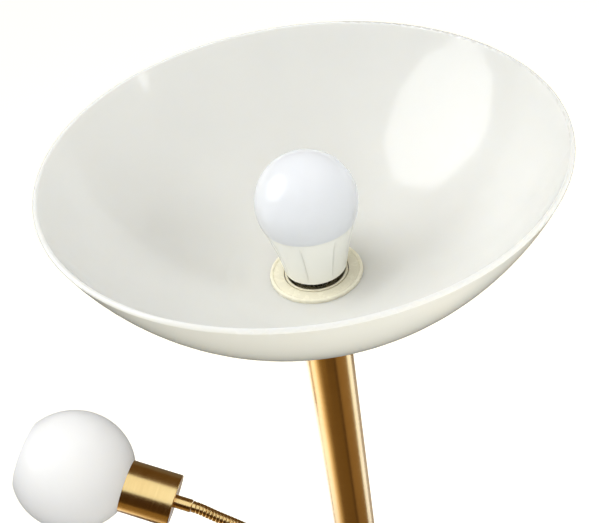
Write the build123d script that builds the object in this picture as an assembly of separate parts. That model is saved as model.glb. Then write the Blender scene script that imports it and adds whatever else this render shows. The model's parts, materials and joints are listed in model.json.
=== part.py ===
from build123d import *
from math import acos, asin, atan2, cos, degrees, radians, sin, sqrt
import os

os.makedirs("parts", exist_ok=True)

# A torchiere floor lamp: a weighted round base, a three-piece pole, an upturned bowl with a
# screw-in bulb, and a small reading head on a bendable neck. The pole stands on Z, the floor
# is z = 0, and the neck leans toward -X at rest. Lengths are millimetres, angles degrees.

# ---------------------------------------------------------------- clearances
thread_clearance = 0.05
slip_clearance = 0.3
running_clearance = 0.05
cut_over = 1.0

# ---------------------------------------------------------------- nuts
nut_corner_share = 0.56
nut_chamfer_share = 0.12

# ---------------------------------------------------------------- whole lamp
total_height = 1780.0
pole_radius = 16.0
pole_wall = 1.2

# ---------------------------------------------------------------- base
base_radius = 125.0
base_height = 22.0
base_skin = 1.2
base_edge_radius = 8.0
base_crown = 2.0
base_skirt_gap = 1.0
cover_clearance = 0.5
pad_thickness = 3.0
pad_inset = 5.0
weight_thickness = 12.0
weight_chamfer = 2.0
weight_boss_radius = 22.0
nut_pocket_clearance = 1.5
nut_pocket_depth = 8.0
cord_groove_width = 8.0
cord_groove_depth = 8.0
nipple_radius = 5.0
nipple_bore_radius = 3.2
nipple_proud = 0.5
washer_radius = 13.5
washer_thickness = 1.5
base_nut_width = 17.0
base_nut_height = 5.5
pole_bush_length = 12.0
flange_radius = 24.0
flange_height = 8.0
flange_slope_height = 4.4
flange_slope_width = 5.6
flange_edge = 0.8

# cord inlet in the rear of the base
inlet_height = 8.0
inlet_bore_radius = 3.3
inlet_barrel_radius = 4.6
inlet_length = 13.0
inlet_flange_radius = 6.4
inlet_flange_thickness = 2.0
inlet_flange_edge = 0.8

# ---------------------------------------------------------------- pole joint
pole_joint_height = 604.0
coupler_band = 2.0
coupler_reach = 24.0
coupler_bore_radius = 9.0

# ---------------------------------------------------------------- bowl and its fittings
bowl_rim_radius = 146.0
bowl_depth = 96.0
bowl_seat_radius = 40.0
bowl_seat_blend = 75.0
bowl_wall = 3.0
bowl_hole_clearance = 0.5
lampholder_proud = 2.0
cup_radius = 21.4
cup_wall = 1.2
cup_floor = 1.5
cup_edge = 0.8
main_cup_length = 50.0
cup_nut_width = 14.0
cup_nut_height = 4.0
main_holder_radius = 19.2
main_holder_wall = 1.4
main_holder_foot_radius = 14.0
main_holder_foot_height = 10.0
main_holder_rim_edge = 0.3
main_holder_depth = 29.0
holder_nut_gap = 0.5
holder_nipple_depth = 9.5
nipple_end_gap = 0.5
lead_radius = 2.4
shell_wall = 0.6
shell_flange = 2.2
shell_cap_clearance = 0.6
main_shell_recess = 2.0
contact_thickness = 0.5
contact_foot_half = 4.0
contact_top_half = 3.0
shade_ring_radius = 28.4
shade_ring_height = 2.5
shade_ring_lip = 2.4
shade_ring_recess = 0.9
shade_ring_gap = 0.7

# ---------------------------------------------------------------- main bulb
bulb_radius = 30.0
bulb_centre = 51.5
bulb_length = 106.0
bulb_housing_bottom = 2.0
bulb_housing_bottom_radius = 16.0
bulb_housing_heel = 2.6
bulb_housing_heel_radius = 19.0
bulb_housing_waist_radius = 25.7
bulb_housing_waist_drop = 7.0
bulb_housing_wall = 2.4
bulb_joint_drop = 10.5
bulb_skin = 1.2
bulb_cap_radius = 13.2
bulb_cap_straight = 18.4
bulb_tip_radius = 5.0
cap_shoulder_share = 0.8
cap_skirt_share = 0.45
cap_tip_edge = 0.8

# ---------------------------------------------------------------- reading head
reading_reach = 187.0
reading_drop = 334.8
reading_elevation = 19.75
reading_cup_length = 42.0
ferrule_radius = 5.25
ferrule_length = 14.0
ferrule_stub = 12.0
ferrule_edge = 0.6
globe_radius = 48.0
globe_half_length = 50.0
globe_centre = 44.6
globe_wall = 2.5
globe_mouth_radius = 28.5
reading_holder_radius = 13.8
reading_holder_wall = 1.6
reading_holder_flange = 2.0
reading_holder_proud = 6.5
reading_holder_depth = 26.5
reading_holder_chamfer = 2.0
reading_shell_recess = 1.0
reading_ring_radius = 20.0
reading_ring_height = 4.0
reading_ring_edge = 1.2
reading_bulb_radius = 20.0
reading_bulb_length = 71.0
reading_cap_radius = 7.0
reading_cap_straight = 16.0
reading_tip_radius = 3.0
reading_tip_height = 3.0
reading_housing_bottom_radius = 10.5
reading_housing_length = 17.0
reading_housing_wall = 1.8
reading_joint_radius = 17.6

# ---------------------------------------------------------------- bendable neck
neck_link_count = 11
neck_link_pitch = 21.0
neck_end_length = 42.0
neck_end_elevation = 30.0
neck_crest_radius = 4.6
neck_root_radius = 4.25
neck_bore_radius = 1.9
neck_bore_section_count = 9
neck_ribs_per_link = 7
rib_foot_share = 0.08
rib_crest_share = 0.24
neck_ball_radius = 3.3
neck_ball_clearance = 0.3
neck_ball_stem_radius = 2.6
neck_shoulder = 2.1
neck_socket_lip = 0.4

# ---------------------------------------------------------------- switch housing
housing_radius = 23.0
housing_wall = 1.5
housing_length = 80.0
housing_cap_thickness = 5.0
housing_cap_edge = 1.5
housing_spigot = 6.0
housing_wire_radius = 13.0
pole_seat_depth = 9.0
elbow_radius = 7.0
elbow_rise = 14.0
elbow_reach = 40.9446
elbow_flange_radius = 9.0
elbow_flange_thickness = 2.0
elbow_flange_edge = 1.0
elbow_bore_radius = 3.0
elbow_stub_end = 12.0
elbow_nut_height = 4.0
elbow_mouth_taper = 4.0
elbow_mouth_edge = 0.6
grub_radius = 1.5
grub_level = 3.0
grub_recess = 0.4
grub_key_radius = 0.75
grub_key_depth = 1.5
grub_angles = (60.0, 120.0)

# two rotary switches, one above and one below the neck's elbow
switch_spread = 19.0
switch_body_width = 18.0
switch_body_height = 20.0
switch_body_depth = 14.0
switch_body_edge = 1.0
switch_corner_clearance = 1.0
switch_bush_radius = 5.0
switch_bush_proud = 0.5
switch_collar_radius = 8.5
switch_collar_thickness = 2.0
switch_collar_edge = 0.5
switch_nut_width = 13.0
switch_nut_height = 2.5
rotor_radius = 6.0
rotor_thickness = 3.0
rotor_play = 0.3
rotor_wall = 2.5
rotor_shaft_radius = 3.0
rotor_flat = 2.2
back_plate_thickness = 1.5
knob_radius = 8.5
knob_gap = 0.2
knob_length = 15.8
knob_shaft_depth = 12.0
knob_clearance = 0.02
knob_flutes = 20
knob_flute_radius = 0.8
knob_flute_offset = 0.3
knob_plain_band = 3.0
knob_edge = 1.0

# ---------------------------------------------------------------- places worked out from these
underside = total_height - bowl_depth
bowl_floor = underside + bowl_wall
holder_top = bowl_floor + lampholder_proud
main_cup_bottom = underside - main_cup_length
holder_foot = main_cup_bottom + cup_floor + cup_nut_height + holder_nut_gap
holder_floor = holder_top - main_holder_depth
bowl_hole_radius = main_holder_radius + bowl_hole_clearance
nipple_hole_radius = nipple_radius + slip_clearance
nut_pocket_radius = washer_radius + nut_pocket_clearance
weight_radius = base_radius - base_skin - cover_clearance
weight_top = pad_thickness + weight_thickness
base_top = base_height + base_crown
pole_bore_radius = pole_radius - pole_wall
pocket_top = pad_thickness + nut_pocket_depth
washer_bottom = pocket_top - washer_thickness

head_drop = total_height - reading_drop
last_joint_back = reading_cup_length + ferrule_length + neck_shoulder
tilt = radians(reading_elevation)
last_joint_x = -reading_reach + last_joint_back * cos(tilt)
last_joint_z = head_drop - last_joint_back * sin(tilt)
neck_tilt = radians(neck_end_elevation)
neck_turn = radians(90.0 - neck_end_elevation)
neck_length = neck_link_count * neck_link_pitch
neck_x = -elbow_reach
arc_end_x = last_joint_x + neck_end_length * cos(neck_tilt)
arc_end_z = last_joint_z - neck_end_length * sin(neck_tilt)
neck_bend_radius = (neck_x - arc_end_x) / (1.0 - sin(neck_tilt))
neck_rise = neck_length - neck_end_length - neck_bend_radius * neck_turn
first_joint_z = arc_end_z - neck_bend_radius * cos(neck_tilt) - neck_rise

housing_middle = first_joint_z - elbow_rise
housing_bottom = housing_middle - housing_length / 2
housing_top = housing_middle + housing_length / 2
housing_bore_radius = housing_radius - housing_wall
switch_body_front = sqrt(housing_bore_radius**2 - (switch_body_width / 2) ** 2) - switch_corner_clearance
switch_body_back = switch_body_front - switch_body_depth
switch_collar_front = housing_radius + switch_collar_thickness
switch_bush_end = switch_collar_front + switch_nut_height + switch_bush_proud
knob_back = switch_bush_end + knob_gap
knob_front = knob_back + knob_length
main_shell_radius = bulb_cap_radius + shell_cap_clearance + shell_wall
reading_shell_radius = reading_cap_radius + shell_cap_clearance + shell_wall
head_plane = Plane(
    origin=(-reading_reach, 0, head_drop),
    x_dir=(0, 1, 0),
    z_dir=(-cos(tilt), 0, sin(tilt)),
)


# ---------------------------------------------------------------- shapes used again and again
STAND = (Align.CENTER, Align.CENTER, Align.MIN)


def turned(*edges):
    """A solid turned about Z from a closed outline of edges, drawn as (radius, height)."""
    return revolve(make_face(Plane.XZ * Curve(children=list(edges))), Axis.Z)


def lathed(*outline):
    """A solid turned about Z from the corners of its half section."""
    return revolve(make_face(Plane.XZ * Polyline(*outline, close=True)), Axis.Z)


def ring(outer, inner, bottom, top):
    """A plain tube about Z."""
    return lathed((inner, bottom), (outer, bottom), (outer, top), (inner, top))


def disc(radius, bottom, top):
    """A plain disc about Z."""
    return Pos(0, 0, bottom) * Cylinder(radius, top - bottom, align=STAND)


def hex_nut(across, bore, bottom, height):
    """A hexagonal nut about Z, its corners broken at both faces."""
    prism = extrude(RegularPolygon(across / 2, 6, major_radius=False), height)
    blank = disc(across * nut_corner_share, 0, height)
    broken = chamfer(blank.edges().filter_by(GeomType.CIRCLE), height * nut_chamfer_share)
    return Pos(0, 0, bottom) * ((prism & broken) - disc(bore, -cut_over, height + cut_over))


def save(node, *solids):
    """Write one node, of one solid or a group of like ones."""
    export_step(solids[0] if len(solids) == 1 else Compound(children=list(solids)), f"parts/{node}.step")


# ---------------------------------------------------------------- base
def base_pad():
    """Foam pad under the weight, closing the nut pocket and the cord groove."""
    return disc(weight_radius - pad_inset, 0, pad_thickness)


def cord_groove(bottom, height, width):
    """The channel for the cord, from the middle of the base to its rear."""
    return Pos(0, base_radius / 2, bottom + height / 2) * Box(width, base_radius, height)


def base_weight():
    """Cast disc that keeps the lamp upright, with a boss under the cover."""
    boss_top = base_top - base_skin
    disc_part = lathed(
        (nipple_hole_radius, pad_thickness),
        (weight_radius, pad_thickness),
        (weight_radius, weight_top - weight_chamfer),
        (weight_radius - weight_chamfer, weight_top),
        (weight_boss_radius, weight_top),
        (weight_boss_radius, boss_top),
        (nipple_hole_radius, boss_top),
    )
    cut_bottom = pad_thickness - cut_over
    pocket = disc(nut_pocket_radius, cut_bottom, pocket_top)
    groove = cord_groove(cut_bottom, cord_groove_depth + cut_over, cord_groove_width)
    seat_depth = inlet_length + slip_clearance
    seat_width = 2 * (inlet_barrel_radius + slip_clearance)
    seat_top = inlet_height + inlet_barrel_radius + slip_clearance
    seat_height = seat_top - cut_bottom
    seat = Pos(0, base_radius - seat_depth / 2, cut_bottom + seat_height / 2) * Box(
        seat_width, seat_depth, seat_height
    )
    return disc_part - pocket - groove - seat


def base_cover():
    """Spun metal cover over the weight, open below."""
    bend = base_radius - base_edge_radius
    inner_edge = base_edge_radius - base_skin
    edge_z = base_height - base_edge_radius
    inner_wall = base_radius - base_skin
    slant = sin(radians(45))
    outline = [
        Line((base_radius, base_skirt_gap), (base_radius, edge_z)),
        ThreePointArc(
            (base_radius, edge_z),
            (bend + base_edge_radius * slant, edge_z + base_edge_radius * slant),
            (bend, base_height),
        ),
        Line((bend, base_height), (flange_radius, base_top)),
        Line((flange_radius, base_top), (nipple_hole_radius, base_top)),
        Line((nipple_hole_radius, base_top), (nipple_hole_radius, base_top - base_skin)),
        Line((nipple_hole_radius, base_top - base_skin), (flange_radius, base_top - base_skin)),
        Line((flange_radius, base_top - base_skin), (bend, base_height - base_skin)),
        ThreePointArc(
            (bend, base_height - base_skin),
            (bend + inner_edge * slant, edge_z + inner_edge * slant),
            (inner_wall, edge_z),
        ),
        Line((inner_wall, edge_z), (inner_wall, base_skirt_gap)),
        Line((inner_wall, base_skirt_gap), (base_radius, base_skirt_gap)),
    ]
    hole = Pos(0, base_radius, inlet_height) * Rot(90, 0, 0) * Cylinder(
        inlet_barrel_radius + slip_clearance, 2 * (base_skin + cut_over)
    )
    return turned(*outline) - hole


def cord_bushing():
    """Smooth plastic bushing that lines the cord's way into the base."""
    face = base_radius + inlet_flange_thickness
    facing_rear = Plane(origin=(0, face, inlet_height), x_dir=(1, 0, 0), z_dir=(0, 1, 0))
    barrel = disc(inlet_barrel_radius, -inlet_length, -inlet_flange_thickness / 2)
    flange = fillet(
        disc(inlet_flange_radius, -inlet_flange_thickness - cut_over, 0).edges().group_by(Axis.Z)[-1],
        inlet_flange_edge,
    )
    flange = facing_rear * flange - disc(base_radius, 0, base_height)
    bore = disc(inlet_bore_radius, -inlet_length - cut_over, cut_over)
    return flange + facing_rear * barrel - facing_rear * bore


def base_nipple():
    """Hollow threaded rod that ties the weight, cover and pole together."""
    bottom = washer_bottom - base_nut_height - nipple_proud
    return ring(nipple_radius, nipple_bore_radius, bottom, base_top + pole_bush_length)


def base_washer():
    """Plain washer in the pocket under the weight."""
    return ring(washer_radius, nipple_hole_radius, washer_bottom, pocket_top)


def base_nut():
    """Nut that draws the nipple down against the washer."""
    return hex_nut(
        base_nut_width,
        nipple_radius + thread_clearance,
        washer_bottom - base_nut_height,
        base_nut_height,
    )


def pole_flange():
    """Turned collar at the foot of the pole."""
    collar = ring(flange_radius, pole_radius + slip_clearance, base_top, base_top + flange_height)
    top_rim = collar.edges().group_by(Axis.Z)[-1].sort_by(SortBy.LENGTH)[-1]
    collar = chamfer(top_rim, flange_slope_height, flange_slope_width)
    return fillet(collar.edges().group_by(Axis.Z)[0].sort_by(SortBy.LENGTH)[-1], flange_edge)


# ---------------------------------------------------------------- pole
def pole_tube(bottom, top):
    """One thin-walled tube of the pole."""
    return ring(pole_radius, pole_bore_radius, bottom, top)


def pole_bush(bottom):
    """Threaded bush welded into a tube's end."""
    return ring(pole_bore_radius, nipple_radius + thread_clearance, bottom, bottom + pole_bush_length)


def pole_lower():
    """Bottom tube, with its bush on the base."""
    return pole_tube(base_top, pole_joint_height) + pole_bush(base_top)


def pole_middle():
    """Middle tube, from the coupler up into the switch housing."""
    return pole_tube(pole_joint_height + coupler_band, housing_bottom + pole_seat_depth)


def pole_upper():
    """Top tube, from the switch housing up to the cup under the bowl."""
    tube = pole_tube(housing_top - pole_seat_depth, main_cup_bottom)
    return tube + pole_bush(main_cup_bottom - pole_bush_length)


def pole_coupler():
    """Spigot between the lower tubes, with a thin band that shows."""
    spigot = pole_bore_radius - thread_clearance
    bottom = pole_joint_height - coupler_reach
    top = pole_joint_height + coupler_band + coupler_reach
    plug = ring(spigot, coupler_bore_radius, bottom, top)
    band = ring(pole_radius, spigot, pole_joint_height, pole_joint_height + coupler_band)
    return plug + band


# ---------------------------------------------------------------- switch housing
def elbow_line():
    """Plane on the housing's axis, facing the neck's elbow."""
    return Plane(origin=(0, 0, housing_middle), x_dir=(0, 1, 0), z_dir=(-1, 0, 0))


def switch_line(level):
    """Plane on the housing's axis at one switch, facing forward."""
    return Plane(origin=(0, 0, housing_middle + level), x_dir=(1, 0, 0), z_dir=(0, -1, 0))


def switch_levels():
    """Heights of the two switches from the housing's middle."""
    return (switch_spread, -switch_spread)


def housing_shell():
    """Tube round the switches, drilled for their bushes and the elbow."""
    bottom = housing_bottom + housing_cap_thickness
    top = housing_top - housing_cap_thickness
    shell = ring(housing_radius, housing_bore_radius, bottom, top)
    hole = disc(switch_bush_radius + slip_clearance, housing_bore_radius / 2, housing_radius + cut_over)
    shell -= elbow_line() * hole
    for level in switch_levels():
        shell -= switch_line(level) * hole
    return shell


def housing_cap(facing):
    """End of the housing, holding one tube of the pole by grub screws; facing is 1 for the top."""
    spigot = housing_bore_radius - thread_clearance
    seat = pole_radius + thread_clearance
    depth = housing_cap_thickness + housing_spigot
    cap = lathed(
        (seat, 0),
        (housing_radius, 0),
        (housing_radius, -housing_cap_thickness),
        (spigot, -housing_cap_thickness),
        (spigot, -depth),
        (housing_wire_radius, -depth),
        (housing_wire_radius, -pole_seat_depth),
        (seat, -pole_seat_depth),
    )
    rim = cap.edges().group_by(Axis.Z)[-1].sort_by(SortBy.LENGTH)[-1]
    cap = fillet(rim, housing_cap_edge)
    cap -= grub_screw_places(grub_radius + thread_clearance, housing_radius + cut_over)
    if facing > 0:
        return Pos(0, 0, housing_top) * cap
    return Pos(0, 0, housing_bottom) * mirror(cap, Plane.XY)


def grub_screw_places(radius, reach):
    """Radial rods at the grub screws' places, in a cap whose outer face is z = 0."""
    rods = []
    for angle in grub_angles:
        start = pole_radius + thread_clearance
        rod = Cylinder(radius, reach - start, align=STAND)
        rods.append(Rot(0, 0, angle) * Pos(start, 0, -grub_level) * Rot(0, 90, 0) * rod)
    return rods


def grub_screws():
    """The four small socket screws in the two caps."""
    screws = []
    outer_end = housing_radius - grub_recess
    for rod, angle in zip(grub_screw_places(grub_radius, outer_end), grub_angles):
        key = Cylinder(grub_key_radius, 2 * grub_key_depth)
        rod -= Rot(0, 0, angle) * Pos(outer_end, 0, -grub_level) * Rot(0, 90, 0) * key
        screws.append(Pos(0, 0, housing_top) * rod)
        screws.append(Pos(0, 0, housing_bottom) * mirror(rod, Plane.XY))
    return screws


def arm_elbow():
    """Cast elbow from the housing up to the neck, with the first ball's socket in its mouth."""
    reach = -neck_x
    inside = housing_bore_radius - elbow_flange_thickness
    stub = disc(elbow_radius, inside, reach)
    flange = disc(elbow_flange_radius, inside, housing_radius + elbow_flange_thickness)
    flange = fillet(flange.edges().group_by(Axis.Z)[-1], elbow_flange_edge)
    outside = elbow_line() * (stub + flange) - disc(housing_radius, housing_bottom, housing_top)
    mouth = first_joint_z + neck_socket_lip
    neck = lathed(
        (0, housing_middle),
        (elbow_radius, housing_middle),
        (elbow_radius, mouth - elbow_mouth_taper),
        (neck_crest_radius + elbow_mouth_edge, mouth - elbow_mouth_edge),
        (neck_crest_radius, mouth),
        (0, mouth),
    )
    elbow = outside + Pos(neck_x, 0, housing_middle) * Sphere(elbow_radius) + Pos(neck_x, 0, 0) * neck
    threaded = elbow_line() * disc(switch_bush_radius, elbow_stub_end, housing_radius + cut_over)
    along = elbow_line() * disc(elbow_bore_radius, elbow_stub_end - cut_over, reach)
    upward = Pos(neck_x, 0, 0) * disc(elbow_bore_radius, housing_middle, mouth + cut_over)
    corner = Pos(neck_x, 0, housing_middle) * Sphere(elbow_bore_radius)
    socket = Pos(neck_x, 0, first_joint_z) * Sphere(neck_ball_radius + neck_ball_clearance)
    return elbow + threaded - along - upward - corner - socket


def elbow_nut():
    """Nut inside the housing on the elbow's stub."""
    corner = cup_nut_width / 2 / cos(radians(30))
    face = sqrt(housing_bore_radius**2 - corner**2) - running_clearance
    bore = switch_bush_radius + thread_clearance
    return elbow_line() * hex_nut(cup_nut_width, bore, face - elbow_nut_height, elbow_nut_height)


# ---------------------------------------------------------------- rotary switches
def switch_body(level):
    """Insulating block with a threaded bush, open at the back for the rotor."""
    depth = switch_body_front - switch_body_back
    block = Pos(0, 0, switch_body_back) * Box(switch_body_width, switch_body_height, depth, align=STAND)
    block = fillet(block.edges().filter_by(Axis.Z), switch_body_edge)
    bush = disc(switch_bush_radius, switch_body_front, switch_bush_end)
    cavity_front = switch_body_front - rotor_wall
    cavity = disc(rotor_radius + rotor_play, switch_body_back - cut_over, cavity_front)
    bore = disc(rotor_shaft_radius + running_clearance, cavity_front - cut_over, switch_bush_end + cut_over)
    return switch_line(level) * (block + bush - cavity - bore)


def switch_back_plate(level):
    """Plate that closes the switch and keeps the rotor in."""
    plate = Pos(0, 0, switch_body_back - back_plate_thickness) * Box(
        switch_body_width, switch_body_height, back_plate_thickness, align=STAND
    )
    rotor_back = switch_body_front - rotor_wall - 2 * rotor_play - rotor_thickness
    plug = disc(rotor_radius + rotor_play - running_clearance, switch_body_back, rotor_back)
    return switch_line(level) * (plate + plug)


def switch_rotor(level):
    """Cam disc and shaft turned by the knob, with a flat on its end."""
    front = switch_body_front - rotor_wall - rotor_play
    cam = disc(rotor_radius, front - rotor_thickness, front)
    end = knob_back + knob_shaft_depth - rotor_play
    shaft = disc(rotor_shaft_radius, front, end)
    flat = Pos(0, rotor_flat, knob_back) * Box(
        2 * rotor_shaft_radius, rotor_shaft_radius, knob_length, align=(Align.CENTER, Align.MIN, Align.MIN)
    )
    return switch_line(level) * (cam + shaft - flat)


def switch_collar(level):
    """Round washer with a hollow back that fits the housing's curve."""
    collar = disc(switch_collar_radius, housing_bore_radius - housing_wall, switch_collar_front)
    collar = fillet(collar.edges().group_by(Axis.Z)[-1], switch_collar_edge)
    collar -= disc(switch_bush_radius + slip_clearance, 0, switch_collar_front + cut_over)
    return switch_line(level) * collar - disc(housing_radius, housing_bottom, housing_top)


def switch_nut(level):
    """Thin nut that clamps the switch to the housing."""
    bore = switch_bush_radius + thread_clearance
    return switch_line(level) * hex_nut(switch_nut_width, bore, switch_collar_front, switch_nut_height)


def switch_knob(level):
    """Fluted turn knob with a flatted bore."""
    knob = disc(knob_radius, knob_back, knob_front)
    knob = fillet(knob.edges().group_by(Axis.Z)[-1], knob_edge)
    flute = disc(knob_flute_radius, knob_back - cut_over, knob_front - knob_plain_band)
    knob -= [loc * flute for loc in PolarLocations(knob_radius + knob_flute_offset, knob_flutes)]
    bore = disc(rotor_shaft_radius + knob_clearance, knob_back - cut_over, knob_back + knob_shaft_depth)
    flat = Pos(0, rotor_flat + knob_clearance, 0) * Box(
        2 * knob_radius, knob_radius, knob_front, align=(Align.CENTER, Align.MIN, Align.MIN)
    )
    return switch_line(level) * (knob - (bore - flat))


# ---------------------------------------------------------------- cups, holders and bulbs
def holder_cup(length):
    """Open metal cup, its mouth at z = 0 and its drilled floor below."""
    bottom = -length
    cup = lathed(
        (nipple_hole_radius, bottom),
        (cup_radius, bottom),
        (cup_radius, 0),
        (cup_radius - cup_wall, 0),
        (cup_radius - cup_wall, bottom + cup_floor),
        (nipple_hole_radius, bottom + cup_floor),
    )
    rim = cup.edges().group_by(Axis.Z)[0].sort_by(SortBy.LENGTH)[-1]
    return fillet(rim, cup_edge)


def cup_nut(length):
    """Nut on the nipple, inside a cup of this length."""
    bottom = -length + cup_floor
    return hex_nut(cup_nut_width, nipple_radius + thread_clearance, bottom, cup_nut_height)


def screw_shell(radius, flange, floor, top):
    """Metal shell that takes a bulb's cap, with a flange on the holder's floor."""
    return lathed(
        (radius - shell_wall, floor),
        (radius + flange, floor),
        (radius + flange, floor + shell_wall),
        (radius, floor + shell_wall),
        (radius, top),
        (radius - shell_wall, top),
    )


def centre_contact(floor, top):
    """Bent strip under a bulb's tip, its foot flat on the holder's floor."""
    thin = contact_thickness
    foot = contact_foot_half
    head = contact_top_half
    outline = Polyline(
        (-foot, floor),
        (foot, floor),
        (foot, floor + thin),
        (thin, floor + thin),
        (head, top - thin),
        (head, top),
        (-head, top),
        (-head, top - thin),
        (head - 2 * thin, top - thin),
        (-thin, floor + thin),
        (-foot, floor + thin),
        close=True,
    )
    strip = extrude(make_face(Plane.XZ * outline), foot)
    return Pos(0, foot / 2, 0) * strip


def top_nipple():
    """Hollow threaded rod from the pole's top bush into the lampholder."""
    top = holder_foot + holder_nipple_depth - nipple_end_gap
    return ring(nipple_radius, nipple_bore_radius, main_cup_bottom - pole_bush_length, top)


def main_holder():
    """Plastic lampholder: a threaded foot below a deep round well."""
    edge = main_holder_rim_edge
    well = main_holder_radius - main_holder_wall
    body_bottom = holder_foot + main_holder_foot_height
    body = lathed(
        (0, holder_foot),
        (main_holder_foot_radius, holder_foot),
        (main_holder_foot_radius, body_bottom),
        (main_holder_radius, body_bottom),
        (main_holder_radius, holder_top - edge),
        (main_holder_radius - edge, holder_top),
        (well + edge, holder_top),
        (well, holder_top - edge),
        (well, holder_floor),
        (0, holder_floor),
    )
    hole_radius = nipple_radius + thread_clearance
    return body - disc(hole_radius, holder_foot - cut_over, holder_foot + holder_nipple_depth)


def main_screw_shell():
    """Shell for the main bulb's cap."""
    return screw_shell(main_shell_radius, shell_flange, holder_floor, holder_top - main_shell_recess)


def main_contact():
    """Contact under the main bulb."""
    return centre_contact(holder_floor, bulb_tip_height() - running_clearance)


def bulb_tip_height():
    """Height of the main bulb's tip."""
    return holder_top + bulb_centre + bulb_radius - bulb_length


def bowl_arc(inset, sphere, centre, seat):
    """Edges of the bowl's section from its lip down to its seat, this far inside the middle surface.

    The round wall of the sphere runs by a tangent arc into the flat seat.
    """
    blend = bowl_seat_blend
    flat_radius = sqrt((sphere - blend) ** 2 - (centre - seat - blend) ** 2)
    lip_angle = asin((bowl_rim_radius - bowl_wall / 2) / sphere)
    blend_angle = atan2(flat_radius, centre - seat - blend)

    def on_arc(middle, radius, angle):
        """Point at this angle from the bottom of a circle about a middle point."""
        return (middle[0] + radius * sin(angle), middle[1] - radius * cos(angle))

    wall_middle = (0, centre)
    wall_radius = sphere - inset
    blend_middle = (flat_radius, seat + blend)
    blend_radius = blend - inset
    wall = ThreePointArc(
        on_arc(wall_middle, wall_radius, lip_angle),
        on_arc(wall_middle, wall_radius, (lip_angle + blend_angle) / 2),
        on_arc(wall_middle, wall_radius, blend_angle),
    )
    foot = ThreePointArc(
        wall @ 1,
        on_arc(blend_middle, blend_radius, blend_angle / 2),
        on_arc(blend_middle, blend_radius, 0),
    )
    return wall, foot


def bowl_shade():
    """Shallow spherical bowl on a flat seat, its lip fully rounded."""
    lip = bowl_wall / 2
    lip_radius = bowl_rim_radius - lip
    rise = bowl_depth - bowl_wall
    seat = underside + lip
    above_seat = (lip_radius**2 + rise**2 - bowl_seat_radius**2) / (2 * rise)
    sphere = sqrt(above_seat**2 + bowl_seat_radius**2)
    centre = seat + above_seat
    outer_wall, outer_foot = bowl_arc(-lip, sphere, centre, seat)
    inner_wall, inner_foot = bowl_arc(lip, sphere, centre, seat)
    lip_angle = asin(lip_radius / sphere)
    lip_tip = (lip_radius + lip * cos(lip_angle), total_height - lip + lip * sin(lip_angle))
    rim = ThreePointArc(outer_wall @ 0, lip_tip, inner_wall @ 0)
    flat_seat = Polyline(
        inner_foot @ 1, (bowl_hole_radius, bowl_floor), (bowl_hole_radius, underside), outer_foot @ 1
    )
    return turned(outer_wall, outer_foot, rim, inner_wall, inner_foot, flat_seat)


def shade_ring():
    """Threaded ring that clamps the bowl, with a raised round lip."""
    inner = main_holder_radius + shade_ring_gap
    top = bowl_floor + shade_ring_height
    lip = shade_ring_lip / 2
    recess = top - shade_ring_recess
    lip_top = ThreePointArc(
        (shade_ring_radius, top - lip),
        (shade_ring_radius - lip, top),
        (shade_ring_radius - shade_ring_lip, top - lip),
    )
    rest = Polyline(
        lip_top @ 1,
        (shade_ring_radius - shade_ring_lip, recess),
        (inner, recess),
        (inner, bowl_floor),
        (shade_ring_radius, bowl_floor),
        lip_top @ 0,
    )
    return turned(lip_top, rest)


def bulb_joint_height():
    """Height of the line between the diffuser and the housing."""
    return holder_top + bulb_centre - bulb_joint_drop


def bulb_diffuser():
    """Round diffuser of the main bulb, a thin shell open below."""
    centre = holder_top + bulb_centre
    joint = bulb_joint_height()
    inner = bulb_radius - bulb_skin
    shell = Pos(0, 0, centre) * (Sphere(bulb_radius) - Sphere(inner))
    return shell - disc(bulb_radius + cut_over, joint - bulb_radius, joint)


def bulb_housing():
    """Tapered plastic body between the diffuser and the cap, hollow inside."""
    bottom = holder_top + bulb_housing_bottom
    heel = bottom + bulb_housing_heel
    joint = bulb_joint_height()
    waist = joint - bulb_housing_waist_drop
    top_radius = sqrt(bulb_radius**2 - bulb_joint_drop**2)
    shoulder = Spline(
        (top_radius, joint),
        (bulb_housing_waist_radius, waist),
        (bulb_housing_heel_radius, heel),
    )
    rest = Polyline(
        shoulder @ 1,
        (bulb_housing_bottom_radius, bottom),
        (bulb_cap_radius - bulb_skin, bottom),
        (bulb_cap_radius - bulb_skin, bottom + bulb_skin),
        (bulb_housing_bottom_radius - bulb_skin, bottom + bulb_skin),
        (bulb_housing_heel_radius - bulb_housing_wall, heel),
        (bulb_housing_waist_radius - bulb_housing_wall, waist),
        (top_radius - bulb_housing_wall, joint),
        shoulder @ 0,
    )
    return turned(shoulder, rest)


def screw_cap(radius, straight, top, tip_radius, tip):
    """Threaded cap of a bulb, tapering through its insulator to the tip."""
    below = top - straight
    return lathed(
        (0, top),
        (radius, top),
        (radius, below),
        (radius * cap_shoulder_share, below - (below - tip) * cap_skirt_share),
        (tip_radius, tip + cap_tip_edge),
        (tip_radius - cap_tip_edge, tip),
        (0, tip),
    )


def bulb_cap():
    """Screw cap of the main bulb."""
    top = holder_top + bulb_housing_bottom
    return screw_cap(bulb_cap_radius, bulb_cap_straight, top, bulb_tip_radius, bulb_tip_height())


def main_lead():
    """Lead inside the pole, from the main switch's level to the lampholder."""
    return disc(lead_radius, housing_middle + switch_spread, holder_foot + holder_nipple_depth)


# ---------------------------------------------------------------- neck
def neck_plane(distance):
    """Plane square to the neck's middle line, this far along it from the first joint."""
    rise = min(distance, neck_rise)
    turn = min(max(distance - neck_rise, 0.0) / neck_bend_radius, neck_turn)
    beyond = max(distance - neck_rise - neck_bend_radius * neck_turn, 0.0)
    x = neck_x - neck_bend_radius * (1 - cos(turn)) - beyond * sin(turn)
    z = first_joint_z + rise + neck_bend_radius * sin(turn) + beyond * cos(turn)
    return Plane(origin=(x, 0, z), x_dir=(0, 1, 0), z_dir=(-sin(turn), 0, cos(turn)))


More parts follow.
